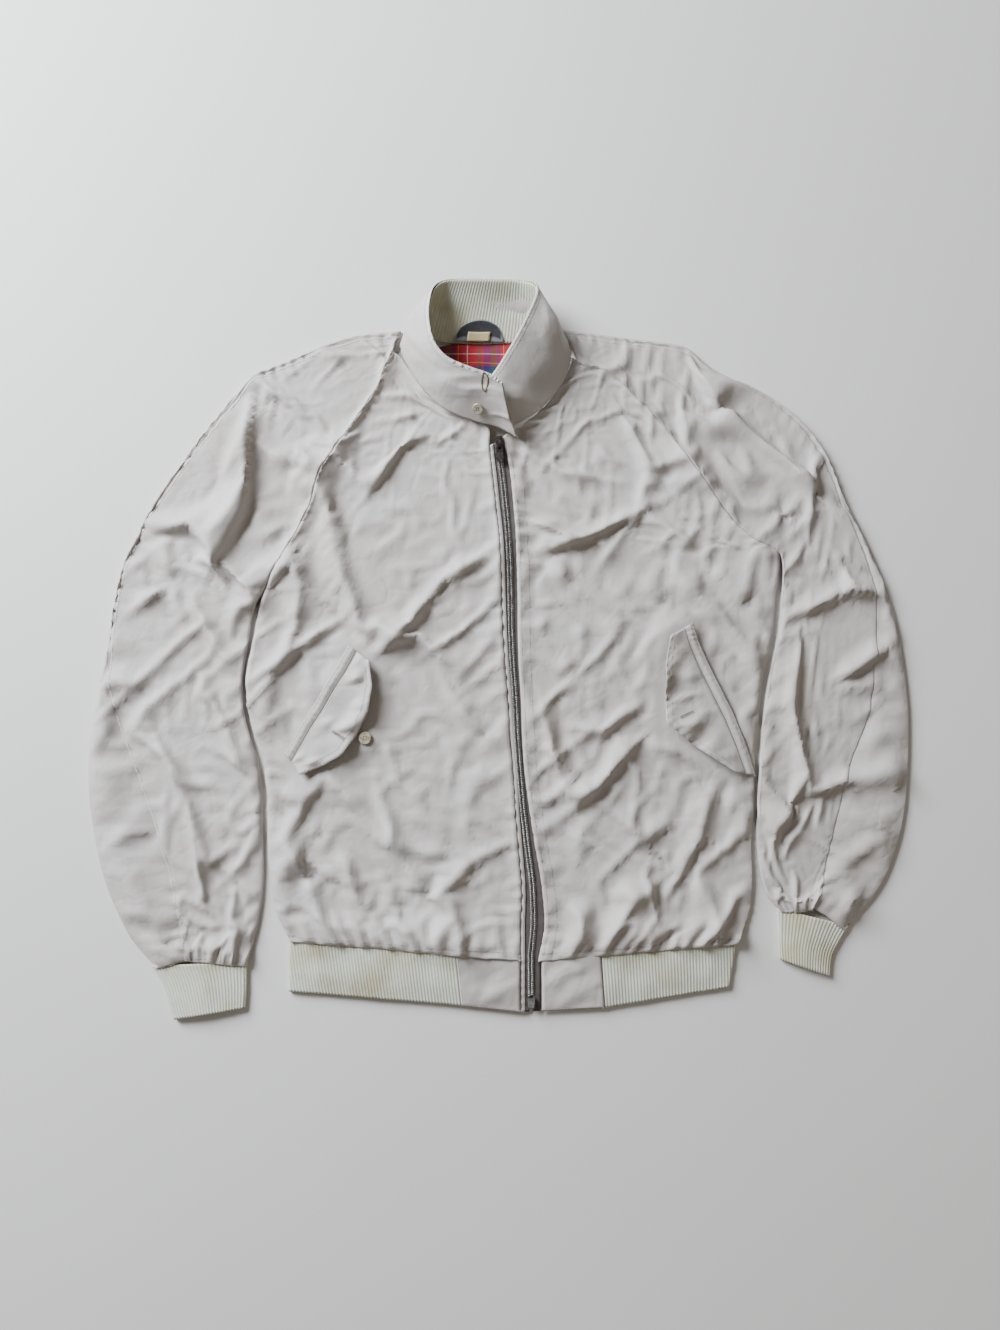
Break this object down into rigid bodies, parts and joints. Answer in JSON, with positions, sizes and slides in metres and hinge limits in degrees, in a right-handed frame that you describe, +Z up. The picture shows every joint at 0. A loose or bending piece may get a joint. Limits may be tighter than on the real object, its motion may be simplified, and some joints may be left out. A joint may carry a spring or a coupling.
{
  "type": "harrington jacket",
  "caption": "Zipped harrington jacket laid flat on its back: raglan sleeves, ribbed cuffs and hem, raised collar, slanted flap pockets and a swinging zip pull.",
  "frame": {"origin": "middle of the laid jacket's outline, on the surface it lies on", "axes": "+X towards the wearer's left sleeve, +Y from hem to collar, +Z up from the surface"},
  "size_m": [0.7998, 0.7216, 0.0433],
  "materials": {
    "shell_cloth": "washed stone-beige cotton blend, fine plain weave, soft sheen",
    "rib_knit": "pale greenish-cream one-by-one rib knit",
    "check_lining": null,
    "label": "woven black label with a grey lower band, bare",
    "tag": "beige woven tag, bare",
    "zip_tape": "grey-brown woven zip tape",
    "zip_metal": "aged dark zip metal, worn bright on edges",
    "box_metal": "pale grey metal retainer box",
    "button": "cream four-hole button"
  },
  "bodies": {
    "jacket": {"back_panel": "shell_cloth", "front_right": "shell_cloth", "front_left": "shell_cloth", "sleeve_right_front": "shell_cloth", "sleeve_right_back": "shell_cloth", "sleeve_left_front": "shell_cloth", "sleeve_left_back": "shell_cloth", "cuff_right": "rib_knit", "cuff_left": "rib_knit", "hem_rib": "rib_knit", "hem_tab_right": "shell_cloth", "hem_tab_left": "shell_cloth", "collar_shell": "shell_cloth", "collar_facing": "rib_knit", "neck_lining": "check_lining", "neck_label": "label", "size_tag": "tag", "front_facing_right": "shell_cloth", "zip_tape_right": "zip_tape", "zip_tape_left": "zip_tape", "zip_slider": "zip_metal", "zip_box": "box_metal", "pocket_welt_right": "shell_cloth", "pocket_flap_right": "shell_cloth", "pocket_welt_left": "shell_cloth", "pocket_flap_left": "shell_cloth", "pocket_button": "button", "collar_button": "button"},
    "zip_pull_tab": {"zip_pull": "zip_metal"}
  },
  "joints": [
    {"name": "zip_pull_swing", "type": "hinge", "parent": "jacket", "child": "zip_pull_tab", "pos_m": [0, 0.1957, 0.0113], "axis": [-1, 0, 0], "range_deg": [0, 140]}
  ]
}
